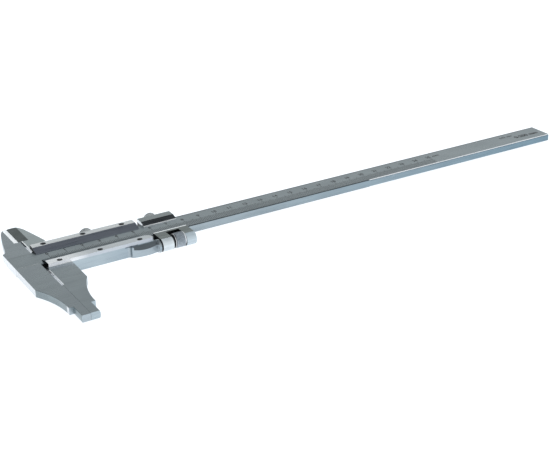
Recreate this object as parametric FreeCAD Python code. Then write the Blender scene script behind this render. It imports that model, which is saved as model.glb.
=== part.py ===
import FreeCAD, Part
import math
import os

os.makedirs("parts", exist_ok=True)
V = FreeCAD.Vector

# Vernier caliper, 250 mm, with knife-edge upper jaws, nibbed lower jaws and a
# fine-adjustment carriage. Millimetres.
# X runs along the beam, X = 0 is the plane where the measuring faces meet.
# Y = 0 is the beam's centre line, the knife-edge jaws are on the +Y side.
# Z = 0 is the back of the slider, the graduated face looks along +Z.

# ---- driving dimensions ----
beam_left, beam_right = -13.94, 345.0
beam_half_w = 8.2
beam_top = 6.30
beam_t = 4.60
beam_chamfer = 0.40
seat_half_w = 7.0            # the beam is stepped in where the fixed jaws are brazed on

jaw_t = 4.00                 # thickness of every jaw
face_gap = 0.01              # each measuring face stands this far off X = 0
nib_r = 5.0                  # the two nibs together are 10 mm wide
nib_end_y = -74.5
shoulder_y = -63.6
relief_y_low = -38.3         # the lower faces measure from here to the tips
relief_y_up = 24.8           # the knife edges start here
relief_x_low, relief_x_up = 0.74, 0.34
relief_moving_low, relief_moving_up = 0.36, 0.66
knife_depth = 1.90
knife_w_fixed, knife_w_moving = 3.60, 4.55

plate_t = 1.65               # back plate of slider and carriage
body_top = 6.35
slider_x0, slider_x1 = 0.36, 61.36
slider_y0, slider_y1 = -14.6, 14.1
channel_y0, channel_y1 = -8.25, 9.10
strip_x0 = 1.36
strip_top = 8.20
strip_foot = 6.50
strip_flat_low, strip_flat_up = -9.6, 9.5
strip_inner = 4.0
vernier_bevel_end = 57.0
screw_x = (8.2, 31.0, 54.0)
screw_y_up, screw_y_low = 11.7, -12.7
screw_head_r, screw_shank_r = 1.45, 1.00

gib_y0, gib_y1 = 8.27, 8.77
gib_z0, gib_z1 = 2.3, 5.9

lock_z = 4.30
lock_head_r, lock_shank_r, lock_clear = 4.10, 1.50, 0.06
lock_head_len, lock_collar_gap = 3.50, 0.50
slider_lock_x, carriage_lock_x = 34.76, 73.20

flange_x0, flange_x1 = 61.9, 63.1
nose_y, nose_r = -17.4, 3.70  # half-round front of flange and carriage
spindle_y, spindle_z, spindle_r = -17.15, 4.25, 1.60
spindle_end = 82.0

carriage_x0, carriage_x1 = 64.1, 84.0
carriage_y1 = 13.4
housing_top = 7.40
window_x0, window_x1, window_y = 70.5, 78.2, -10.4
nut_collar_x0, nut_collar_x1, nut_knurl_x0, nut_x1 = 70.9, 72.1, 72.6, 77.95
nut_r, nut_collar_r, nut_neck_r = 4.20, 3.95, 3.40
nut_clear = 0.05

thumb_x0, thumb_recess_x0, thumb_x1 = 47.6, 48.6, 61.9
thumb_top, thumb_front_top = 5.90, 3.80


# ---- helpers ----
def box(x0, x1, y0, y1, z0, z1):
    return Part.makeBox(x1 - x0, y1 - y0, z1 - z0, V(x0, y0, z0))


def cyl_x(x0, x1, y, z, r):
    return Part.makeCylinder(r, x1 - x0, V(x0, y, z), V(1, 0, 0))


def cyl_y(x, y0, y1, z, r):
    return Part.makeCylinder(r, y1 - y0, V(x, y0, z), V(0, 1, 0))


def cyl_z(x, y, z0, z1, r):
    return Part.makeCylinder(r, z1 - z0, V(x, y, z0), V(0, 0, 1))


def face(start, segments, place):
    """A flat face from ('L', end) and ('A', through, end) segments; place maps 2-D to 3-D."""
    edges, here = [], start
    for s in segments + [("L", start)]:
        end = s[-1]
        if math.dist(here, end) < 1e-9:
            continue
        if s[0] == "L":
            edges.append(Part.makeLine(place(*here), place(*end)))
        else:
            edges.append(Part.Arc(place(*here), place(*s[1]), place(*end)).toShape())
        here = end
    return Part.Face(Part.Wire(edges))


def plan(start, segments, z0, z1):
    """A solid from an outline in XY."""
    return face(start, segments, lambda x, y: V(x, y, z0)).extrude(V(0, 0, z1 - z0))


def along_x(start, segments, x0, x1):
    """A solid from an outline in YZ."""
    return face(start, segments, lambda y, z: V(x0, y, z)).extrude(V(x1 - x0, 0, 0))


def along_y(start, segments, y0, y1):
    """A solid from an outline in XZ."""
    return face(start, segments, lambda x, z: V(x, y0, z)).extrude(V(0, y1 - y0, 0))


def lines(*points):
    return [("L", p) for p in points]


def one(shape):
    """The single clean solid of a boolean result."""
    shape = shape.removeSplitter()
    assert len(shape.Solids) == 1, len(shape.Solids)
    return shape.Solids[0]


def save(name, shape):
    solids = shape.Solids
    assert solids and all(s.isValid() and s.Volume > 0 for s in solids), name
    out = solids[0] if len(solids) == 1 else Part.makeCompound(solids)
    out.exportStep(f"parts/{name}.step")


# ---- beam ----
c, w = beam_chamfer, beam_half_w
z0, z1 = beam_top - beam_t, beam_top
beam = along_x(
    (-w + c, z0),
    lines((w - c, z0), (w, z0 + c), (w, z1 - c), (w - c, z1), (-w + c, z1), (-w, z1 - c), (-w, z0 + c)),
    beam_left,
    beam_right,
)
for side, cut in ((1, 0.5), (-1, 0.0)):
    corner = plan(
        (beam_right - cut, side * (w + 0.2)),
        lines((beam_right + 0.2, side * (w + 0.2)), (beam_right + 0.2, side * (w - cut))),
        z0 - 1,
        z1 + 1,
    )
    beam = beam.cut(corner)
beam = beam.cut(box(beam_left - 1, -relief_x_up, seat_half_w, w + 1, z0 - 1, z1 + 1))
beam = beam.cut(box(beam_left - 1, -relief_x_low, -w - 1, -seat_half_w, z0 - 1, z1 + 1))
save("beam", one(beam))


# ---- jaws: one lower and one upper outline, mirrored for the moving side ----
def nib(side, top):
    zc = top - jaw_t / 2
    bar = cyl_y(0, nib_end_y, shoulder_y + 0.6, zc, nib_r)
    xs = sorted((side * face_gap, side * (nib_r + 1)))
    keep = box(xs[0], xs[1], nib_end_y - 1, shoulder_y + 1, top - jaw_t, top)
    return bar.common(keep)


def lower_jaw(side, top, root_y, relief_x, outer):
    m = lambda x, y: (side * x, y)
    outline = [
        ("L", m(outer[0][0], outer[0][1])),
        ("L", m(13.95, -36.0)),
        ("A", m(9.32, -47.0), m(6.98, -62.6)),
        ("L", m(6.98, shoulder_y)),
        ("L", m(face_gap, shoulder_y)),
        ("L", m(face_gap, relief_y_low)),
        ("L", m(relief_x, relief_y_low)),
    ]
    jaw = plan(m(relief_x, root_y), outline, top - jaw_t, top)
    return one(jaw.fuse(nib(side, top)))


def knife(side, top, width):
    """The wedges that leave a thin edge at mid-thickness on the contact plane."""
    low = top - jaw_t
    d = knife_depth * (width + 1) / width
    cut = None
    for z, sign in ((top, -1), (low, 1)):
        wedge = along_y(
            (side * width, z),
            lines((side * -1.0, z), (side * -1.0, z + sign * d)),
            relief_y_up,
            60.0,
        )
        cap = along_y(
            (side * width, z),
            lines((side * width, z - sign * 1.0), (side * -1.0, z - sign * 1.0), (side * -1.0, z)),
            relief_y_up,
            60.0,
        )
        piece = wedge.fuse(cap)
        cut = piece if cut is None else cut.fuse(piece)
    return cut


fixed_lower = lower_jaw(-1, beam_top, -seat_half_w, relief_x_low, [(13.94, -seat_half_w)])
save("fixed_jaw_lower", fixed_lower)

fixed_upper = plan(
    (beam_left, seat_half_w),
    [
        ("L", (beam_left, 13.2)),
        ("A", (-13.55, 14.15), (-12.75, 14.7)),
        ("A", (-11.85, 15.9), (-11.35, 17.6)),
        ("L", (-10.75, 20.0)),
        ("A", (-8.60, 30.2), (-6.05, 40.0)),
        ("A", (-5.05, 42.4), (-3.74, 44.7)),
        ("A", (-2.10, 47.2), (-0.70, 49.2)),
        ("L", (-face_gap, 49.3)),
        ("L", (-face_gap, relief_y_up)),
        ("L", (-relief_x_up, relief_y_up - 0.8)),
        ("L", (-relief_x_up, seat_half_w)),
    ],
    beam_top - jaw_t,
    beam_top,
)
save("fixed_jaw_upper", one(fixed_upper.cut(knife(-1, beam_top, knife_w_fixed))))

# ---- slider ----
moving_lower = lower_jaw(1, body_top, -13.6, relief_moving_low, [(14.3, -13.6)])
moving_upper = plan(
    (relief_moving_up, 13.4),
    [
        ("L", (relief_moving_up, relief_y_up - 0.8)),
        ("L", (face_gap, relief_y_up)),
        ("L", (face_gap, 49.0)),
        ("L", (0.80, 48.9)),
        ("A", (3.05, 46.9), (5.00, 44.6)),
        ("A", (6.25, 42.5), (7.26, 40.0)),
        ("A", (9.62, 30.2), (11.76, 20.3)),
        ("L", (11.76, 13.4)),
    ],
    body_top - jaw_t,
    body_top,
).cut(knife(1, body_top, knife_w_moving))
slider = box(slider_x0, slider_x1, slider_y0, slider_y1, 0, body_top)
slider = slider.cut(box(slider_x0 - 1, slider_x1 + 1, channel_y0, channel_y1, plate_t, 9))
slider = slider.cut(box(slider_x0 - 1, relief_moving_up, channel_y1 - 1, slider_y1 + 1, plate_t, 9))
# the near rail starts level with the strip that lies on it, so a pocket is open beside the fixed jaw
slider = slider.cut(box(slider_x0 - 1, strip_x0, slider_y0 - 1, channel_y0 + 1, plate_t, 9))
slider = slider.fuse(moving_lower).fuse(moving_upper)
# the near rail runs on a little and carries the half-round spindle flange
slider = slider.fuse(box(slider_x1 - 0.5, flange_x0 + 0.2, slider_y0, -9.0, 0, thumb_top))
flange = cyl_x(flange_x0, flange_x1, nose_y, nose_r, nose_r)
flange = flange.fuse(box(flange_x0, flange_x1, nose_y + 1.0, -9.0, 0, 4.9))
slider = slider.fuse(flange)
slider = slider.cut(cyl_x(flange_x0 - 1, flange_x1 + 1, spindle_y, spindle_z, spindle_r))
pin_x, pin_r = (flange_x0 + flange_x1) / 2, 0.40
slider = slider.cut(cyl_z(pin_x, spindle_y, 0.5, 7.0, pin_r))
for x in screw_x:
    slider = slider.cut(cyl_z(x, screw_y_up, 3.0, 9, screw_shank_r + 0.02))
    slider = slider.cut(cyl_z(x, screw_y_low, 3.0, 9, screw_shank_r + 0.02))
slider = slider.cut(cyl_y(slider_lock_x, channel_y1 - 0.5, slider_y1 + 1, lock_z, lock_shank_r + lock_clear))
save("slider_body", one(slider))

# ---- front strips of the slider ----
upper = along_x(
    (slider_y1, body_top),
    lines((slider_y1, strip_top), (strip_flat_up, strip_top), (strip_inner, strip_foot), (strip_inner, body_top)),
    strip_x0,
    slider_x1,
)
flat = plan(
    (strip_x0, slider_y0),
    [
        ("L", (strip_x0, strip_flat_low)),
        ("L", (57.4, strip_flat_low)),
        ("A", (60.23, -10.77), (61.4, -13.6)),
        ("A", (61.11, -14.31), (60.4, slider_y0)),
    ],
    body_top,
    strip_top,
)
bevel = along_x(
    (strip_flat_low, body_top),
    lines((strip_flat_low, strip_top), (-strip_inner, strip_foot), (-strip_inner, body_top)),
    strip_x0,
    vernier_bevel_end,
)
lower = one(flat.fuse(bevel))
for x in screw_x:
    for y in (screw_y_up, screw_y_low):
        hole = cyl_z(x, y, body_top - 1, 9, screw_shank_r + 0.05).fuse(
            cyl_z(x, y, strip_top - 1.1, 9, screw_head_r + 0.05)
        )
        if y > 0:
            upper = upper.cut(hole)
        else:
            lower = lower.cut(hole)
save("upper_guide_strip", one(upper))
save("vernier_strip", one(lower))


def strip_screw(x, y, turn):
    body = cyl_z(x, y, strip_top - 1.1, strip_top - 0.05, screw_head_r)
    body = body.fuse(cyl_z(x, y, 3.1, strip_top - 1.0, screw_shank_r))
    slot = box(-3, 3, -0.25, 0.25, strip_top - 0.6, 9)
    slot.rotate(V(0, 0, 0), V(0, 0, 1), turn)
    slot.translate(V(x, y, 0))
    return one(body.cut(slot))


save("upper_strip_screws", Part.makeCompound([strip_screw(x, screw_y_up, a) for x, a in zip(screw_x, (20, 75, 140))]))
save("lower_strip_screws", Part.makeCompound([strip_screw(x, screw_y_low, a) for x, a in zip(screw_x, (60, 165, 10))]))

# ---- thumb rest: half-moon lug, its top hollowed to a slope ----
rest_cx, rest_cy, rest_r = 55.56, 7.1, 24.8


def rest_y(x):
    return rest_cy - math.sqrt(rest_r**2 - (x - rest_cx) ** 2)


root_y = rest_y(thumb_x0)
root_x = thumb_x0 - (slider_y0 - root_y)
k = (slider_y0 - root_y) * math.sqrt(0.5)
thumb = plan(
    (root_x, slider_y0),
    [
        ("A", (root_x + k, root_y + k), (thumb_x0, root_y)),
        ("A", (rest_cx - 1, rest_y(rest_cx - 1)), (thumb_x1, rest_y(thumb_x1))),
        ("L", (thumb_x1, slider_y0)),
    ],
    0,
    thumb_top,
)
slope = (thumb_top - thumb_front_top) / 3.1
hollow = along_x(
    (slider_y0 + 0.0, thumb_top),
    lines((slider_y0 - 5.0, thumb_top - slope * 5.0), (slider_y0 - 5.0, thumb_top + 2), (slider_y0, thumb_top + 2)),
    thumb_recess_x0,
    thumb_x1 + 1,
)
save("thumb_rest", one(thumb.cut(hollow)))

# ---- spring strips between rail and beam ----
save("slider_gib_spring", box(3.0, 59.0, gib_y0, gib_y1, gib_z0, gib_z1))
save("carriage_gib_spring", box(carriage_x0 + 1.0, carriage_x1 - 1.0, gib_y0, gib_y1, gib_z0, gib_z1))


# ---- knurled lock screws ----
def lock_screw(x, outer_y):
    head_y0 = outer_y + lock_collar_gap
    head = cyl_y(x, head_y0, head_y0 + lock_head_len, lock_z, lock_head_r)
    rims = [e for e in head.Edges if abs(e.Length - 2 * math.pi * lock_head_r) < 1e-6]
    head = head.makeChamfer(0.35, rims)
    shank = cyl_y(x, gib_y1 + 0.08, head_y0 + 1.0, lock_z, lock_shank_r)
    return one(head.fuse(shank))


save("slider_lock_screw", lock_screw(slider_lock_x, slider_y1))
save("carriage_lock_screw", lock_screw(carriage_lock_x, carriage_y1))

# ---- fine-adjustment spindle, its pin and nut ----
spindle = cyl_x(flange_x0, spindle_end, spindle_y, spindle_z, spindle_r)
tips = [e for e in spindle.Edges if abs(e.Length - 2 * math.pi * spindle_r) < 1e-6 and e.CenterOfMass.x > 70]
spindle = spindle.makeChamfer(0.4, tips)
spindle = spindle.cut(cyl_z(pin_x, spindle_y, 0.5, 7.0, pin_r))
save("fine_spindle", one(spindle))
save("spindle_pin", cyl_z(pin_x, spindle_y, 0.5, 6.1, pin_r))

nut = cyl_x(nut_knurl_x0, nut_x1, spindle_y, spindle_z, nut_r)
rims = [e for e in nut.Edges if abs(e.Length - 2 * math.pi * nut_r) < 1e-6]
nut = nut.makeChamfer(0.35, rims)
collar = cyl_x(nut_collar_x0, nut_collar_x1, spindle_y, spindle_z, nut_collar_r)
rims = [e for e in collar.Edges if abs(e.Length - 2 * math.pi * nut_collar_r) < 1e-6]
nut = nut.fuse(collar.makeChamfer(0.25, rims))
nut = nut.fuse(cyl_x(nut_collar_x1 - 0.5, nut_knurl_x0 + 0.5, spindle_y, spindle_z, nut_neck_r))
nut = nut.cut(cyl_x(nut_collar_x0 - 1, nut_x1 + 1, spindle_y, spindle_z, spindle_r + nut_clear))
save("adjusting_nut", one(nut))

# ---- carriage ----
plate = box(carriage_x0, carriage_x1, -12.0, carriage_y1, 0, plate_t)
rail = box(carriage_x0, carriage_x1, channel_y1, carriage_y1, 0, body_top)
housing = along_x(
    (-8.25, 0),
    [
        ("L", (nose_y, 0)),
        ("A", (nose_y - nose_r, nose_r), (nose_y, 2 * nose_r)),
        ("L", (-8.0, housing_top)),
        ("L", (-7.5, housing_top - 0.5)),
        ("L", (-7.5, body_top)),
        ("L", (-8.25, body_top)),
    ],
    carriage_x0,
    carriage_x1,
)
carriage = plate.fuse(rail).fuse(housing)
carriage = carriage.cut(box(window_x0, window_x1, -30, window_y, -1, 9))
carriage = carriage.cut(cyl_x(carriage_x0 - 1, window_x0 + 1, spindle_y, spindle_z, spindle_r + 0.30))
carriage = carriage.cut(cyl_x(window_x1 - 1, carriage_x1 - 0.6, spindle_y, spindle_z, spindle_r + 0.30))
carriage = carriage.cut(
    cyl_y(carriage_lock_x, channel_y1 - 0.5, carriage_y1 + 1, lock_z, lock_shank_r + lock_clear)
)
back_screw_x, back_screw_y = (67.4, 80.6), 11.25
for x in back_screw_x:
    carriage = carriage.cut(cyl_z(x, back_screw_y, -1, 9, screw_shank_r + 0.05))
    carriage = carriage.cut(Part.makeCone(2.0, 0.9, 1.1, V(x, back_screw_y, 0), V(0, 0, 1)))
save("carriage_body", one(carriage))

guide = along_x(
    (carriage_y1, body_top),
    lines((carriage_y1, strip_top), (8.2, strip_top), (4.4, 7.05), (4.4, body_top)),
    carriage_x0,
    carriage_x1,
)
for x in back_screw_x:
    guide = guide.cut(cyl_z(x, back_screw_y, body_top - 1, 7.7, screw_shank_r + 0.02))
save("carriage_guide_strip", one(guide))


def back_screw(x):
    head = Part.makeCone(1.90, 0.95, 0.95, V(x, back_screw_y, 0.05), V(0, 0, 1))
    body = head.fuse(cyl_z(x, back_screw_y, 0.5, 7.6, screw_shank_r))
    slot = box(x - 3, x + 3, back_screw_y - 0.25, back_screw_y + 0.25, -1, 0.5)
    return one(body.cut(slot))


save("carriage_strip_screws", Part.makeCompound([back_screw(x) for x in back_screw_x]))
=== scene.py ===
import math

import bmesh
import bpy
from mathutils import Matrix, Vector


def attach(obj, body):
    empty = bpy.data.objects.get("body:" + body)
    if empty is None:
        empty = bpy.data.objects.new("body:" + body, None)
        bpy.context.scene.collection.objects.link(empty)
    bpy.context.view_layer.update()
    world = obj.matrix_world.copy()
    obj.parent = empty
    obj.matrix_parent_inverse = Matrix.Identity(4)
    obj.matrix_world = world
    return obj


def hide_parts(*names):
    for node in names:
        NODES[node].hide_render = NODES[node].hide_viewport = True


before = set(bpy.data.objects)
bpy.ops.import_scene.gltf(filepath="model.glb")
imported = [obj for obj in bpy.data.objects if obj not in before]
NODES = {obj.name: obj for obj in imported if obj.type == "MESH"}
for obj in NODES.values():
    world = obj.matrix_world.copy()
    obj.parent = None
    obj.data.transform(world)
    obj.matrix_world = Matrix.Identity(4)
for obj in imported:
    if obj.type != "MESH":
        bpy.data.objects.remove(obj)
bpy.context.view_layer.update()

MM = 0.001
C = bpy.context.scene.collection


# ---------------------------------------------------------------- materials
class Tree:
    """A short way to write node trees."""

    def __init__(self, name):
        self.mat = bpy.data.materials.new(name)
        self.mat.use_nodes = True
        self.t = self.mat.node_tree
        self.t.nodes.clear()
        self.out = self.node("ShaderNodeOutputMaterial")
        self.bsdf = self.node("ShaderNodeBsdfPrincipled")
        self.t.links.new(self.bsdf.outputs["BSDF"], self.out.inputs["Surface"])

    def node(self, kind, **kw):
        n = self.t.nodes.new(kind)
        for k, v in kw.items():
            setattr(n, k, v)
        return n

    def put(self, socket, value):
        if isinstance(value, bpy.types.NodeSocket):
            self.t.links.new(value, socket)
        else:
            socket.default_value = value

    def math(self, op, a, b=None, clamp=False):
        n = self.node("ShaderNodeMath", operation=op, use_clamp=clamp)
        self.put(n.inputs[0], a)
        if b is not None:
            self.put(n.inputs[1], b)
        return n.outputs[0]

    def coords(self, scale=(1, 1, 1), rotate=(0, 0, 0)):
        tc = self.node("ShaderNodeTexCoord")
        mp = self.node("ShaderNodeMapping")
        mp.inputs["Scale"].default_value = scale
        mp.inputs["Rotation"].default_value = rotate
        self.t.links.new(tc.outputs["Object"], mp.inputs["Vector"])
        return mp.outputs["Vector"]

    def noise(self, vec, scale, detail=2.0, rough=0.5, distort=0.0):
        n = self.node("ShaderNodeTexNoise")
        self.t.links.new(vec, n.inputs["Vector"])
        n.inputs["Scale"].default_value = scale
        n.inputs["Detail"].default_value = detail
        n.inputs["Roughness"].default_value = rough
        n.inputs["Distortion"].default_value = distort
        return n.outputs["Fac"]

    def ramp(self, fac, stops):
        n = self.node("ShaderNodeValToRGB")
        r = n.color_ramp
        while len(r.elements) < len(stops):
            r.elements.new(0.5)
        for e, (p, c) in zip(r.elements, stops):
            e.position = p
            e.color = (*c, 1) if isinstance(c, tuple) else (c, c, c, 1)
        self.t.links.new(fac, n.inputs["Fac"])
        return n.outputs["Color"]

    def range(self, v, a0, a1, b0, b1):
        n = self.node("ShaderNodeMapRange")
        self.put(n.inputs["Value"], v)
        for k, x in (("From Min", a0), ("From Max", a1), ("To Min", b0), ("To Max", b1)):
            n.inputs[k].default_value = x
        return n.outputs["Result"]

    def mix(self, fac, a, b, blend="MIX"):
        n = self.node("ShaderNodeMix", data_type="RGBA", blend_type=blend)
        self.put(n.inputs[0], fac)
        for s, v in ((n.inputs[6], a), (n.inputs[7], b)):
            if isinstance(v, tuple):
                v = (*v, 1) if len(v) == 3 else v
            self.put(s, v)
        return n.outputs[2]

    def bump(self, height, strength, distance, normal=None):
        n = self.node("ShaderNodeBump")
        n.inputs["Strength"].default_value = strength
        n.inputs["Distance"].default_value = distance
        self.t.links.new(height, n.inputs["Height"])
        if normal is not None:
            self.t.links.new(normal, n.inputs["Normal"])
        return n.outputs["Normal"]


def steel(
    name,
    light=(0.47, 0.525, 0.555),
    dark=(0.37, 0.415, 0.44),
    grain=(0.06, 1.0, 1.0),
    rotate=(0, 0, 0),
    rough=(0.24, 0.36),
    bump=0.25,
    fine=900.0,
    zones=(),
    painted_light_fades=(),
):
    """Ground, finely brushed steel. grain squeezes the noise along the brush marks.
    zones recolour faces by the way they face, mostly as painted highlights and painted shade: (axis, low, high, light,
    dark, metallic, rougher), for faces whose normal on that axis is between low and high; axis "aX" is the size of X.
    An eighth item limits the zone to a part of the piece: {"X": (from, to), ...} in mm.
    fades are painted shading, tones that change along the piece: (axis, low, high, x0, x1, tint at x1, limits)."""
    t = Tree(name)
    marks = t.noise(t.coords(grain, rotate), fine, 3.0, 0.6)
    broad = t.noise(t.coords(tuple(0.25 + 0.75 * g for g in grain), rotate), fine * 0.16, 2.0, 0.55)
    cloud = t.noise(t.coords(), 55.0, 3.0, 0.55, 0.4)
    tone = t.math("ADD", t.math("MULTIPLY", marks, 0.42), t.math("MULTIPLY", broad, 0.32))
    tone = t.math("ADD", tone, t.math("MULTIPLY", cloud, 0.26))
    fac = t.range(tone, 0.38, 0.62, 0.0, 1.0)
    colour = t.mix(fac, dark, light)
    roughness = t.range(t.math("ADD", t.math("MULTIPLY", marks, 0.6), t.math("MULTIPLY", cloud, 0.4)), 0.35, 0.65, rough[0], rough[1])
    t.bsdf.inputs["Metallic"].default_value = 1.0
    if zones or painted_light_fades:
        geo = t.node("ShaderNodeNewGeometry")
        sep = t.node("ShaderNodeSeparateXYZ")
        t.t.links.new(geo.outputs["True Normal"], sep.inputs[0])
        place = t.node("ShaderNodeSeparateXYZ")
        t.t.links.new(t.coords(), place.inputs[0])

        def where(axis, low, high, limits):
            v = sep.outputs[axis[-1]]
            if axis[0] == "a":
                v = t.math("ABSOLUTE", v)
            mask = t.math("MULTIPLY", t.math("GREATER_THAN", v, low), t.math("LESS_THAN", v, high))
            for k, (a, b) in limits.items():
                inside = t.math("MULTIPLY", t.math("GREATER_THAN", place.outputs[k], a * MM), t.math("LESS_THAN", place.outputs[k], b * MM))
                mask = t.math("MULTIPLY", mask, inside)
            return mask

        metallic = None
        for axis, low, high, zl, zd, zm, zr, *limits in zones:
            mask = where(axis, low, high, limits[0] if limits else {})
            colour = t.mix(mask, colour, t.mix(fac, zd, zl))
            if zr:
                roughness = t.math("ADD", roughness, t.math("MULTIPLY", mask, zr))
            if zm < 1:
                m = t.range(mask, 0, 1, 1.0, zm)
                metallic = m if metallic is None else t.math("MULTIPLY", metallic, m)
        if metallic is not None:
            t.put(t.bsdf.inputs["Metallic"], metallic)
        for axis, low, high, x0, x1, tint, *limits in painted_light_fades:
            mask = where(axis, low, high, limits[0] if limits else {})
            along = t.range(place.outputs["X"], x0 * MM, x1 * MM, 0.0, 1.0)
            colour = t.mix(t.math("MULTIPLY", mask, along), colour, t.mix(1.0, colour, tint, "MULTIPLY"))
    t.put(t.bsdf.inputs["Base Color"], colour)
    t.put(t.bsdf.inputs["Roughness"], roughness)
    t.put(t.bsdf.inputs["Normal"], t.bump(marks, bump, 0.00003))
    return t.mat


def give(mat, *names):
    for n in names:
        o = NODES[n]
        o.data.materials.clear()
        o.data.materials.append(mat)


# painted highlights on faces facing along X (both ends, or the right end), and painted shade on faces facing -X
PAINTED_END_HIGHLIGHT = ("aX", 0.9995, 1.1, (0.80, 0.81, 0.82), (0.70, 0.71, 0.72), 1.0, -0.06)
PAINTED_RIGHT_END_HIGHLIGHT = ("X", 0.9995, 1.1, (0.86, 0.87, 0.88), (0.76, 0.77, 0.78), 1.0, -0.04)
PAINTED_END_SHADE = ("X", -1.1, -0.90, (0.035, 0.038, 0.042), (0.018, 0.020, 0.024), 1.0, 0.05)

# beam steel with painted light: end highlights, painted shade and highlight bands, and a painted reflection tint along
# the front face
beam_steel = steel(
    "beam_satin_steel_painted_shading", (0.375, 0.425, 0.445), (0.29, 0.33, 0.35),
    zones=(
        PAINTED_END_HIGHLIGHT,
        # painted shade: front faces by the jaw relief drawn near black
        ("Y", -1.1, -0.9, (0.06, 0.064, 0.066), (0.03, 0.033, 0.035), 1.0, 0.10, {"X": (-1.0, 1.5)}),
        # painted shade on the near chamfer in the middle of the beam
        ("Y", -0.85, -0.45, (0.13, 0.15, 0.16), (0.08, 0.09, 0.10), 1.0, 0.05, {"X": (60.0, 206.0)}),
        # painted highlight on the near chamfer towards the right end, mostly non-metallic
        ("Y", -0.85, -0.45, (0.80, 0.81, 0.82), (0.70, 0.71, 0.72), 0.35, 0.10, {"X": (206.0, 346.0)}),
        # painted shade band along the far edge of the top face
        ("Z", 0.985, 1.1, (0.17, 0.19, 0.20), (0.11, 0.125, 0.13), 1.0, 0.05, {"X": (78.0, 346.0), "Y": (6.85, 8.3)}),
        # painted shade band along the top of the front face at the right end
        ("Y", -1.1, -0.9, (0.20, 0.24, 0.27), (0.15, 0.18, 0.20), 1.0, 0.0, {"X": (206.0, 346.0), "Z": (5.50, 6.0)}),
    ),
    # painted reflection: the front face turns bluer towards the right end
    painted_light_fades=(("Y", -1.1, -0.9, 60.0, 335.0, (0.55, 0.70, 0.79)),),
)
jaw_steel = steel(
    "jaw_ground_steel_painted_shading", (0.385, 0.43, 0.455), (0.32, 0.36, 0.38), (0.16, 1.0, 1.0), rotate=(0, 0, 0.08),
    zones=(
        # painted shade on faces tilted towards -X
        ("X", -0.9994, -0.12, (0.28, 0.325, 0.335), (0.225, 0.26, 0.27), 1.0, 0.0),
        # painted reflection: front faces drawn lighter and bluer
        ("Y", -1.1, -0.97, (0.43, 0.485, 0.515), (0.36, 0.405, 0.43), 1.0, 0.0),
        # painted highlight on faces facing -X
        ("X", -1.1, -0.9995, (0.72, 0.735, 0.745), (0.62, 0.635, 0.645), 1.0, -0.06),
        # painted highlight on faces facing +X
        ("X", 0.9995, 1.1, (0.80, 0.81, 0.82), (0.70, 0.71, 0.72), 1.0, -0.06),
    ),
)
knife_steel = steel(
    "fixed_knife_ground_steel_painted_highlight", (0.385, 0.43, 0.455), (0.32, 0.36, 0.38), (0.16, 1.0, 1.0), rotate=(0, 0, 0.08),
    # painted highlight: the bevel tilted towards +X drawn near white and mostly non-metallic, plus painted end
    # highlights
    zones=(PAINTED_END_HIGHLIGHT, ("X", 0.30, 0.70, (0.96, 0.96, 0.97), (0.88, 0.89, 0.89), 0.15, 0.15)),
)
slider_steel = steel(
    "slider_ground_steel_painted_shading", (0.385, 0.435, 0.455), (0.305, 0.345, 0.365),
    zones=(
        PAINTED_END_HIGHLIGHT,
        # painted shade on the knife bevel tilted towards -X
        ("X", -0.60, -0.30, (0.20, 0.225, 0.22), (0.14, 0.16, 0.155), 1.0, 0.05),
        # painted shade: rail end faces in the pocket by the lower jaw drawn near black
        ("X", -1.1, -0.90, (0.06, 0.064, 0.066), (0.03, 0.033, 0.035), 1.0, 0.10, {"Y": (-14.55, -7.0)}),
        # painted highlight on the -X wall of the upper relief gap
        ("X", -1.1, -0.90, (0.97, 0.97, 0.97), (0.90, 0.91, 0.91), 1.0, 0.0, {"Y": (7.0, 30.0)}),
        # painted highlights along the relief edges of the top faces, upper and lower jaw
        ("Z", 0.985, 1.1, (1.0, 1.0, 1.0), (0.93, 0.94, 0.94), 0.25, 0.10, {"X": (0.5, 1.08), "Y": (9.1, 24.8)}),
        ("Z", 0.985, 1.1, (1.0, 1.0, 1.0), (0.93, 0.94, 0.94), 0.25, 0.10, {"X": (0.2, 0.58), "Y": (-38.3, -17.5)}),
        # painted reflection: front faces drawn lighter and bluer
        ("Y", -1.1, -0.95, (0.42, 0.485, 0.515), (0.335, 0.39, 0.42), 1.0, 0.0),
        # painted shadow band under the edge of the vernier strip
        ("Y", -1.1, -0.95, (0.16, 0.19, 0.22), (0.11, 0.13, 0.155), 1.0, 0.0, {"X": (44.5, 52.0), "Z": (5.75, 6.6)}),
        # painted light: top faces of the upper jaw drawn lighter
        ("Z", 0.985, 1.1, (0.48, 0.535, 0.54), (0.41, 0.46, 0.465), 1.0, 0.0, {"X": (1.08, 40.0), "Y": (14.6, 60.0)}),
        # painted shade: top faces in the pocket by the lower jaw drawn near black
        ("Z", 0.985, 1.1, (0.06, 0.064, 0.066), (0.03, 0.033, 0.035), 1.0, 0.10, {"X": (-1.0, 1.45), "Y": (-14.6, -7.0)}),
    ),
    # painted shade: front faces darken from X 30 to 50 mm
    painted_light_fades=(("Y", -1.1, -0.95, 30.0, 50.0, (0.82, 0.84, 0.87)),),
)
upper_strip_steel = steel(
    "upper_strip_satin_steel_painted_shading", (0.42, 0.45, 0.50), (0.33, 0.365, 0.41),
    # painted shade on the left end; painted highlight on the top faces
    zones=(PAINTED_END_SHADE, ("Z", 0.985, 1.1, (0.86, 0.87, 0.86), (0.68, 0.70, 0.70), 0.75, 0.10)),
)
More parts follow.
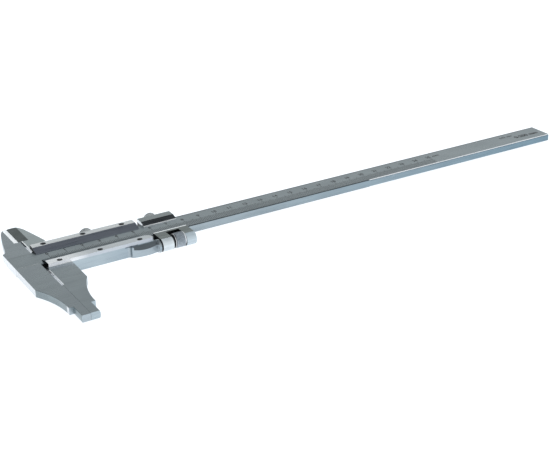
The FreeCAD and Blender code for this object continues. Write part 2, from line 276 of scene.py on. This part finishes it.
vernier_steel = steel(
    "vernier_strip_satin_steel_painted_shading", (0.31, 0.35, 0.37), (0.24, 0.27, 0.29),
    zones=(
        PAINTED_END_SHADE,
        # painted highlight on the top faces
        ("Z", 0.985, 1.1, (1.0, 1.0, 1.0), (0.90, 0.91, 0.92), 0.70, 0.10),
        # painted reflection: front faces drawn near white and mostly non-metallic
        ("Y", -1.1, -0.70, (1.0, 1.0, 1.0), (0.93, 0.94, 1.0), 0.08, 0.10),
    ),
    painted_light_fades=(
        # painted shade: top faces from X 13 mm and front faces from X 14 mm turn darker
        ("Z", 0.985, 1.1, 13.0, 26.0, (0.68, 0.70, 0.71)),
        ("Y", -1.1, -0.70, 14.0, 24.0, (0.54, 0.57, 0.60)),
    ),
)
vernier_steel.node_tree.nodes["Principled BSDF"].inputs["Specular Tint"].default_value = (0.68, 0.71, 0.72, 1)
guide_steel = steel(
    "carriage_guide_steel_painted_shading", (0.36, 0.40, 0.405), (0.28, 0.31, 0.315),
    zones=(
        # painted shade on the chamfer tilted towards -Y
        ("Y", -0.60, -0.20, (0.15, 0.165, 0.17), (0.10, 0.11, 0.115), 1.0, 0.0),
        # painted highlight on the front faces, mostly non-metallic
        ("Y", -1.1, -0.90, (0.95, 0.95, 0.95), (0.85, 0.86, 0.86), 0.35, 0.10),
        # painted highlight on faces facing -X
        ("X", -1.1, -0.90, (0.88, 0.90, 0.90), (0.78, 0.80, 0.80), 0.8, 0.0),
    ),
)
# painted shade on the sloped face of the thumb rest
thumb_steel = steel("thumb_rest_steel_painted_shade", (0.39, 0.445, 0.475), (0.31, 0.355, 0.385), zones=(("Y", -0.75, -0.30, (0.25, 0.29, 0.31), (0.18, 0.21, 0.23), 1.0, 0.0),))
carriage_steel = steel(
    "carriage_ground_steel_painted_shading", (0.34, 0.38, 0.37), (0.27, 0.30, 0.295),
    zones=(
        PAINTED_RIGHT_END_HIGHLIGHT,
        PAINTED_END_SHADE,
        # painted reflection: the front of the half-round housing drawn light
        ("Y", -1.1, -0.10, (0.74, 0.79, 0.81), (0.58, 0.62, 0.64), 0.55, 0.05, {"Y": (-60.0, -11.5)}),
        # painted shade: near black strip at the nut window
        ("Y", -1.1, -0.90, (0.05, 0.053, 0.055), (0.025, 0.027, 0.03), 1.0, 0.10, {"X": (69.0, 79.0), "Y": (-10.8, -10.0)}),
        # painted highlight on the inner chamfer facing +Y
        ("Y", 0.30, 1.1, (0.98, 0.99, 1.0), (0.88, 0.89, 0.90), 0.30, 0.10, {"Y": (-9.0, -7.0)}),
        # painted shade: housing top drawn darker
        ("Z", 0.985, 1.1, (0.26, 0.29, 0.285), (0.20, 0.225, 0.22), 1.0, 0.0, {"Y": (-14.6, -7.0)}),
        # painted highlight along the inner edge of the housing top
        ("Z", 0.985, 1.1, (1.0, 1.0, 1.0), (0.92, 0.93, 0.93), 0.15, 0.10, {"Y": (-8.65, -7.0)}),
    ),
    # painted shade: front faces darken at the right end
    painted_light_fades=(("Y", -1.1, -0.10, 77.9, 78.3, (0.74, 0.79, 0.82), {"Y": (-60.0, -11.5)}),),
)
knurl_steel = steel(
    "knurled_steel_satin_painted_shading", (0.43, 0.475, 0.515), (0.27, 0.305, 0.335), (1, 1, 1), rough=(0.26, 0.38), fine=600.0,
    zones=(
        PAINTED_END_SHADE,
        # painted shade on the left part of the collar
        ("Z", -1.1, 1.1, (0.05, 0.053, 0.056), (0.03, 0.032, 0.034), 1.0, 0.0, {"X": (70.92, 71.66)}),
        # painted highlight on the right part of the collar
        ("Z", -1.1, 1.1, (0.93, 0.94, 0.95), (0.82, 0.83, 0.84), 0.80, 0.0, {"X": (71.66, 72.12)}),
        # painted highlight on the right end of the drum
        ("Z", -1.1, 1.1, (0.85, 0.87, 0.89), (0.72, 0.74, 0.76), 0.85, 0.0, {"X": (77.28, 78.1)}),
    ),
)
knob_steel = steel(
    "lock_knob_steel", (0.80, 0.82, 0.81), (0.52, 0.54, 0.54), (1, 1, 1), rough=(0.26, 0.38), fine=600.0,
    zones=(("Z", -1.1, 1.1, (0.56, 0.58, 0.575), (0.38, 0.40, 0.40), 0.75, 0.0),),
)
spindle_steel = steel("spindle_turned_steel", (0.62, 0.63, 0.64), (0.48, 0.49, 0.50), (1, 0.1, 0.1))


def plain(name, a, b, metallic, rough, scale=400.0, bump=0.1):
    t = Tree(name)
    n = t.noise(t.coords(), scale, 3.0, 0.55)
    t.put(t.bsdf.inputs["Base Color"], t.mix(t.range(n, 0.35, 0.65, 0, 1), a, b))
    t.bsdf.inputs["Metallic"].default_value = metallic
    t.put(t.bsdf.inputs["Roughness"], t.range(n, 0.3, 0.7, rough[0], rough[1]))
    t.put(t.bsdf.inputs["Normal"], t.bump(n, bump, 0.00003))
    return t.mat


black_screw = plain("blackened_screw_steel", (0.010, 0.011, 0.012), (0.035, 0.036, 0.038), 0.85, (0.30, 0.50))
bronze = plain("spring_bronze_strip", (0.55, 0.38, 0.20), (0.62, 0.44, 0.25), 1.0, (0.25, 0.40))
ink = plain("engraved_black_fill", (0.018, 0.020, 0.022), (0.050, 0.052, 0.055), 0.0, (0.45, 0.65), 900.0, 0.2)

seam_dark = plain("braze_line_shadow", (0.10, 0.11, 0.11), (0.20, 0.21, 0.21), 1.0, (0.35, 0.5))
seam_light = plain("braze_line_silver", (0.70, 0.71, 0.70), (0.90, 0.91, 0.90), 1.0, (0.35, 0.5))

give(beam_steel, "beam")
give(jaw_steel, "fixed_jaw_lower")
give(knife_steel, "fixed_jaw_upper")
give(slider_steel, "slider_body")
give(carriage_steel, "carriage_body")
give(upper_strip_steel, "upper_guide_strip")
give(vernier_steel, "vernier_strip")
give(guide_steel, "carriage_guide_strip")
give(thumb_steel, "thumb_rest")
give(knurl_steel, "adjusting_nut", "slider_lock_screw", "carriage_lock_screw")
give(spindle_steel, "fine_spindle", "spindle_pin")
give(black_screw, "upper_strip_screws", "lower_strip_screws", "carriage_strip_screws")
give(bronze, "slider_gib_spring", "carriage_gib_spring")


# ---------------------------------------------------------------- broken edges on the CAD parts
def crisp_group():
    """Joins split corners, then shades flat faces flat and rounds smooth."""
    g = bpy.data.node_groups.new("crisp_faces", "GeometryNodeTree")
    g.interface.new_socket("Geometry", in_out="INPUT", socket_type="NodeSocketGeometry")
    g.interface.new_socket("Geometry", in_out="OUTPUT", socket_type="NodeSocketGeometry")
    n, l = g.nodes, g.links
    gin, gout = n.new("NodeGroupInput"), n.new("NodeGroupOutput")
    merge = n.new("GeometryNodeMergeByDistance")
    merge.inputs["Distance"].default_value = 1e-6
    drop = n.new("GeometryNodeRemoveAttribute")
    drop.inputs["Name"].default_value = "custom_normal"
    faces = n.new("GeometryNodeSetShadeSmooth")
    faces.domain = "FACE"
    faces.inputs["Shade Smooth"].default_value = True
    edges = n.new("GeometryNodeSetShadeSmooth")
    edges.domain = "EDGE"
    ang = n.new("GeometryNodeInputMeshEdgeAngle")
    cmp = n.new("FunctionNodeCompare")
    cmp.data_type = "FLOAT"
    cmp.operation = "LESS_THAN"
    cmp.inputs[1].default_value = math.radians(16)
    l.new(gin.outputs[0], merge.inputs["Geometry"])
    l.new(merge.outputs["Geometry"], drop.inputs["Geometry"])
    l.new(drop.outputs["Geometry"], faces.inputs["Geometry"])
    l.new(faces.outputs["Geometry"], edges.inputs["Geometry"])
    l.new(ang.outputs["Unsigned Angle"], cmp.inputs[0])
    l.new(cmp.outputs["Result"], edges.inputs["Shade Smooth"])
    l.new(edges.outputs["Geometry"], gout.inputs[0])
    return g


CRISP = crisp_group()


def broken_edges(name, width_mm, segments=2, angle=17):
    o = NODES[name]
    w = o.modifiers.new("crisp", "NODES")
    w.node_group = CRISP
    b = o.modifiers.new("edge_break", "BEVEL")
    b.width = width_mm * MM
    b.segments = segments
    b.limit_method = "ANGLE"
    b.angle_limit = math.radians(angle)
    b.use_clamp_overlap = True
    b.harden_normals = True
    b.miter_outer = "MITER_ARC"


for n, w in (
    ("beam", 0.12),
    ("fixed_jaw_lower", 0.14),
    ("fixed_jaw_upper", 0.05),
    ("slider_body", 0.10),
    ("carriage_body", 0.12),
    ("upper_guide_strip", 0.12),
    ("vernier_strip", 0.12),
    ("carriage_guide_strip", 0.12),
    ("thumb_rest", 0.12),
):
    broken_edges(n, w)


# ---------------------------------------------------------------- building pieces
def add_mesh(name, bm, mat, body, smooth=True):
    me = bpy.data.meshes.new(name)
    bm.normal_update()
    bm.to_mesh(me)
    bm.free()
    o = bpy.data.objects.new(name, me)
    C.objects.link(o)
    me.materials.append(mat)
    if smooth:
        for p in me.polygons:
            p.use_smooth = True
    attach(o, body)
    return o


def tri(x):
    """A triangle wave of period 1 between 0 and 1, 0 at whole numbers."""
    x = x - math.floor(x)
    return 1 - abs(2 * x - 1)


def turned(name, profile, around, knurls, mat, body, place):
    """A turned piece. profile is (along, radius) points in mm; between the two stations of
    each knurl (a0, a1, teeth, pitch, depth) the surface is cut with crossed grooves."""
    pts = []
    for i, (a, r) in enumerate(profile):
        pts.append((a, r, None))
        if i + 1 < len(profile):
            b, s = profile[i + 1]
            for k in knurls:
                if a >= k[0] - 1e-6 and b <= k[1] + 1e-6 and b > a and abs(s - r) < 1e-6:
                    n = max(2, int(round((b - a) / k[3] * 8)))
                    pts[-1] = (a, r, k)
                    for j in range(1, n):
                        pts.append((a + (b - a) * j / n, r, k))
    bm = bmesh.new()
    rings = []
    for a, r, k in pts:
        ring = []
        for i in range(around):
            u = i / around
            rr = r
            if k is not None:
                a0, a1, teeth, pitch, depth = k
                v = (a - a0) / pitch
                g = min(tri(u * teeth + v * 0.5), tri(u * teeth - v * 0.5))
                fade = min(1.0, (a - a0) / 0.25, (a1 - a) / 0.25)
                rr = r - depth * max(0.0, 1 - g * 1.7) * max(0.0, fade)
            if r < 1e-6:
                rr = 0.0
            ang = 2 * math.pi * u
            ring.append(bm.verts.new(place(a, rr * math.cos(ang), rr * math.sin(ang))))
        rings.append(ring)
    for p, q in zip(rings, rings[1:]):
        for i in range(around):
            j = (i + 1) % around
            try:
                bm.faces.new((p[i], p[j], q[j], q[i]))
            except ValueError:
                pass
    closed_ring = profile[0] == profile[-1]
    if closed_ring:
        for i in range(around):
            j = (i + 1) % around
        bmesh.ops.remove_doubles(bm, verts=bm.verts, dist=1e-8)
    else:
        bmesh.ops.remove_doubles(bm, verts=bm.verts, dist=1e-8)
        bmesh.ops.holes_fill(bm, edges=[e for e in bm.edges if e.is_boundary], sides=0)
    bmesh.ops.dissolve_degenerate(bm, edges=bm.edges, dist=1e-8)
    bmesh.ops.recalc_face_normals(bm, faces=bm.faces)
    o = add_mesh(name, bm, mat, body)
    return o


# the adjusting nut: collar, neck and knurled drum on one bore
def nut_place(a, y, z):
    return (a * MM, (-17.15 + y) * MM, (4.25 + z) * MM)


bore = 1.65
nut_profile = [
    (70.90, bore + 0.15),
    (70.90, 3.55),
    (70.98, 3.75),
    (71.15, 3.93),
    (71.40, 3.95),
    (71.85, 3.95),
    (72.02, 3.88),
    (72.10, 3.70),
    (72.12, 3.40),
    (72.24, 3.40),
    (72.26, 3.75),
    (72.32, 3.92),
    (72.60, 4.20),
    (77.18, 4.20),
    (77.42, 3.96),
    (77.80, 3.94),
    (77.95, 3.75),
    (77.95, bore + 0.15),
    (77.80, bore),
    (71.05, bore),
    (70.90, bore + 0.15),
]
nut = turned("knurled_adjusting_nut", nut_profile, 270, [(72.60, 77.18, 27, 0.93, 0.34)], knurl_steel, "nut", nut_place)
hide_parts("adjusting_nut")


# the two lock screws: knurled heads, a turned shoulder and a shank
def lock_profile(y0, shank0):
    return [
        (shank0, 0.0),
        (shank0, 1.25),
        (shank0 + 0.25, 1.50),
        (y0 - 0.06, 1.50),
        (y0, 1.60),
        (y0, 3.60),
        (y0 + 0.08, 3.82),
        (y0 + 0.32, 4.10),
        (y0 + 3.18, 4.10),
        (y0 + 3.42, 3.82),
        (y0 + 3.50, 3.60),
        (y0 + 3.50, 2.70),
        (y0 + 3.38, 2.45),
        (y0 + 3.36, 0.0),
    ]


def lock(name, x, y0, body, node):
    def place(a, u, v):
        return ((x + u) * MM, a * MM, (4.3 + v) * MM)

    o = turned(name, lock_profile(y0, 8.85), 234, [(y0 + 0.32, y0 + 3.18, 26, 0.95, 0.28)], knob_steel, body, place)
    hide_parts(node)
    return o


lock("slider_lock_knob", 34.76, 14.6, "slider_lock", "slider_lock_screw")
lock("carriage_lock_knob", 73.20, 13.9, "carriage_lock", "carriage_lock_screw")


# ---------------------------------------------------------------- engraved marks
def bars(name, items, mat, body):
    """Filled engraved lines: each item is four corners in mm on the part's surface, lifted by 0.012 mm."""
    bm = bmesh.new()
    for quad in items:
        bm.faces.new([bm.verts.new(Vector(p) * MM) for p in quad])
    return add_mesh(name, bm, mat, body, smooth=False)


LIFT = 0.012
top = 6.30 + LIFT
zero = 6.56
tick_w = 0.29
marks = []
for k in range(0, 251):
    x = zero + k
    y1 = 0.2 if k % 10 == 0 else (-0.5 if k % 5 == 0 else -1.5)
    marks.append(((x - tick_w / 2, -7.6, top), (x + tick_w / 2, -7.6, top), (x + tick_w / 2, y1, top), (x - tick_w / 2, y1, top)))
bars("beam_scale_lines", marks, ink, "frame")

# the hairline joints where the fixed jaws are brazed to the beam
seam_top = 6.30 + 0.006
bars("braze_seam_upper", [((-13.85, 6.93, seam_top), (-0.4, 6.93, seam_top), (-0.4, 7.08, seam_top), (-13.85, 7.08, seam_top))], seam_dark, "frame")
bars("braze_seam_lower", [((-13.85, -7.10, seam_top), (-0.8, -7.10, seam_top), (-0.8, -6.90, seam_top), (-13.85, -6.90, seam_top))], seam_light, "frame")

# vernier: 50 divisions over 49 mm on the bevel of the near strip
bev = lambda y: 8.20 - (8.20 - 6.50) * (y - (-9.6)) / (9.6 - 4.0)
nz = Vector((0, 1.7, 5.6)).normalized()
vern = []
for k in range(0, 51):
    x = zero + k * 0.98
    y0 = -6.9 if k % 10 == 0 else (-6.3 if k % 5 == 0 else -5.6)
    quad = []
    for xx, yy in ((x - 0.07, y0), (x + 0.07, y0), (x + 0.07, -4.12), (x - 0.07, -4.12)):
        p = Vector((xx, yy, bev(yy))) + nz * LIFT
        quad.append(tuple(p))
    vern.append(quad)
bars("vernier_scale_lines", vern, ink, "slider")


def words(name, entries, mat, body):
    """Engraved figures. Each entry is (text, height, matrix placing text coordinates in mm)."""
    parts = []
    for text, size, m, *bold in entries:
        cu = bpy.data.curves.new("t", "FONT")
        cu.body = text
        cu.size = size
        cu.align_x = "CENTER"
        cu.align_y = "CENTER"
        cu.resolution_u = 3
        cu.offset = (bold[0] if bold else 0.012) * size
        ob = bpy.data.objects.new("t", cu)
        C.objects.link(ob)
        bpy.context.view_layer.update()
        me = bpy.data.meshes.new_from_object(ob.evaluated_get(bpy.context.evaluated_depsgraph_get()))
        me.transform(Matrix.Scale(MM, 4) @ m)
        parts.append(me)
        bpy.data.objects.remove(ob)
        bpy.data.curves.remove(cu)
    bm = bmesh.new()
    for me in parts:
        bm.from_mesh(me)
        bpy.data.meshes.remove(me)
    o = add_mesh(name, bm, mat, body, smooth=False)
    return o


def flat(x, y, z=top, turn=0.0, squeeze=1.0):
    return Matrix.Translation((x, y, z)) @ Matrix.Rotation(turn, 4, "Z") @ Matrix.Diagonal((squeeze, 1, 1, 1))


entries = [(str(n), 3.6, flat(zero + 10 * n, 2.0, squeeze=0.9), 0.030) for n in range(0, 26)]
entries.append(("mm", 3.2, flat(zero + 255.5, 2.0), 0.030))
entries.append(("0.02 mm", 2.8, flat(zero + 312.0, 2.9), 0.035))
entries.append(("0-250 mm", 4.4, flat(zero + 325.5, -1.3), 0.050))
words("beam_scale_figures", entries, ink, "frame")

tilt = Matrix.Rotation(-math.atan2(1.7, 5.6), 4, "X")
ventries = []
for n in range(0, 11):
    x = zero + n * 4.9
    y = -8.2
    ventries.append((str(n), 2.0, Matrix.Translation(Vector((x, y, bev(y))) + nz * LIFT) @ tilt))
words("vernier_scale_figures", ventries, ink, "slider")

# ---------------------------------------------------------------- stage, light, camera
def floor():
    bm = bmesh.new()
    s = 4.0
    bm.faces.new([bm.verts.new(p) for p in ((-s, -s, -0.0001), (s, -s, -0.0001), (s, s, -0.0001), (-s, s, -0.0001))])
    me = bpy.data.meshes.new("floor")
    bm.to_mesh(me)
    bm.free()
    o = bpy.data.objects.new("floor", me)
    C.objects.link(o)
    t = Tree("floor_pale")
    t.bsdf.inputs["Base Color"].default_value = (0.20, 0.20, 0.20, 1)
    t.bsdf.inputs["Roughness"].default_value = 0.9
    t.bsdf.inputs["Specular IOR Level"].default_value = 0.1
    t.bsdf.inputs["Emission Color"].default_value = (0.95, 1.0, 1.06, 1)
    t.bsdf.inputs["Emission Strength"].default_value = 0.99
    me.materials.append(t.mat)
    return o


floor()

world = bpy.data.worlds.new("studio")
bpy.context.scene.world = world
world.use_nodes = True
wt = world.node_tree
wt.nodes.clear()
def wn(kind, **kw):
    n = wt.nodes.new(kind)
    for k, v in kw.items():
        setattr(n, k, v)
    return n


def w_ramp(fac, stops):
    n = wn("ShaderNodeValToRGB")
    r = n.color_ramp
    while len(r.elements) < len(stops):
        r.elements.new(0.5)
    for e, (p, c) in zip(r.elements, stops):
        e.position = p
        e.color = (*c, 1)
    wt.links.new(fac, n.inputs["Fac"])
    return n.outputs["Color"]


def w_step(v, a, b):
    n = wn("ShaderNodeMapRange", interpolation_type="SMOOTHSTEP")
    wt.links.new(v, n.inputs["Value"])
    n.inputs["From Min"].default_value = a
    n.inputs["From Max"].default_value = b
    return n.outputs["Result"]


def w_mix(fac, a, b):
    n = wn("ShaderNodeMix", data_type="RGBA")
    wt.links.new(fac, n.inputs[0])
    wt.links.new(a, n.inputs[6])
    wt.links.new(b, n.inputs[7])
    return n.outputs[2]


w_out = wn("ShaderNodeOutputWorld")
w_bg = wn("ShaderNodeBackground")
w_sep = wn("ShaderNodeSeparateXYZ")
wt.links.new(wn("ShaderNodeTexCoord").outputs["Generated"], w_sep.inputs[0])
wx, wy, wz = w_sep.outputs
# a pale room: bright in front, mid grey behind, dim behind on the left and overhead
behind = w_ramp(wz, [
    (0.00, (0.86, 0.88, 0.90)),
    (0.28, (0.84, 0.87, 0.88)),
    (0.42, (0.68, 0.72, 0.72)),
    (0.58, (0.20, 0.21, 0.22)),
    (0.76, (0.17, 0.18, 0.20)),
    (0.90, (0.24, 0.25, 0.27)),
    (1.00, (0.62, 0.64, 0.66)),
])
front = w_ramp(wz, [
    (0.00, (0.95, 0.98, 1.00)),
    (0.50, (0.90, 0.93, 0.95)),
    (0.74, (0.62, 0.64, 0.66)),
    (0.88, (0.30, 0.31, 0.33)),
    (1.00, (0.62, 0.64, 0.66)),
])
left = w_ramp(wz, [
    (0.00, (0.52, 0.54, 0.56)),
    (0.30, (0.50, 0.52, 0.54)),
    (0.50, (0.38, 0.40, 0.42)),
    (0.80, (0.20, 0.21, 0.23)),
    (1.00, (0.62, 0.64, 0.66)),
])
sky = w_mix(w_step(wx, -0.05, -0.35), behind, left)
sky = w_mix(w_step(wy, 0.12, -0.25), sky, front)
wt.links.new(sky, w_bg.inputs["Color"])
wt.links.new(w_bg.outputs["Background"], w_out.inputs["Surface"])
w_bg.inputs["Strength"].default_value = 1.0


def area(name, where, at, size, power, glossy=True, colour=(1, 1, 1)):
    li = bpy.data.lights.new(name, "AREA")
    li.shape = "RECTANGLE"
    li.size, li.size_y = size
    li.energy = power
    li.color = colour
    o = bpy.data.objects.new(name, li)
    C.objects.link(o)
    o.location = where
    o.rotation_mode = "QUATERNION"
    o.rotation_quaternion = (Vector(at) - Vector(where)).to_track_quat("-Z", "Y")
    o.visible_glossy = glossy
    return o


area("soft_overhead", (0.1, 0.1, 1.6), (0.1, 0.1, 0), (2.6, 2.6), 30.0, glossy=False, colour=(0.92, 0.98, 1.0))

cam_data = bpy.data.cameras.new("camera")
cam = bpy.data.objects.new("camera", cam_data)
C.objects.link(cam)
yaw, pitch, roll = math.radians(29.317), math.radians(23.740), math.radians(-2.1155)
fwd = Vector((math.sin(yaw) * math.cos(pitch), math.cos(yaw) * math.cos(pitch), -math.sin(pitch)))
right = fwd.cross(Vector((0, 0, 1))).normalized()
up = right.cross(fwd)
r2 = math.cos(roll) * right + math.sin(roll) * up
u2 = -math.sin(roll) * right + math.cos(roll) * up
m = Matrix.Identity(4)
for i in range(3):
    m[i][0], m[i][1], m[i][2] = r2[i], u2[i], -fwd[i]
m.translation = Vector((-0.184009, -0.586388, 0.284432))
cam.matrix_world = m
cam_data.sensor_width = 36.0
cam_data.lens = 82.21
cam_data.shift_x, cam_data.shift_y = -0.0012, 0.0011
cam_data.clip_start, cam_data.clip_end = 0.01, 50.0
bpy.context.scene.camera = cam
bpy.context.scene.view_settings.view_transform = "Standard"
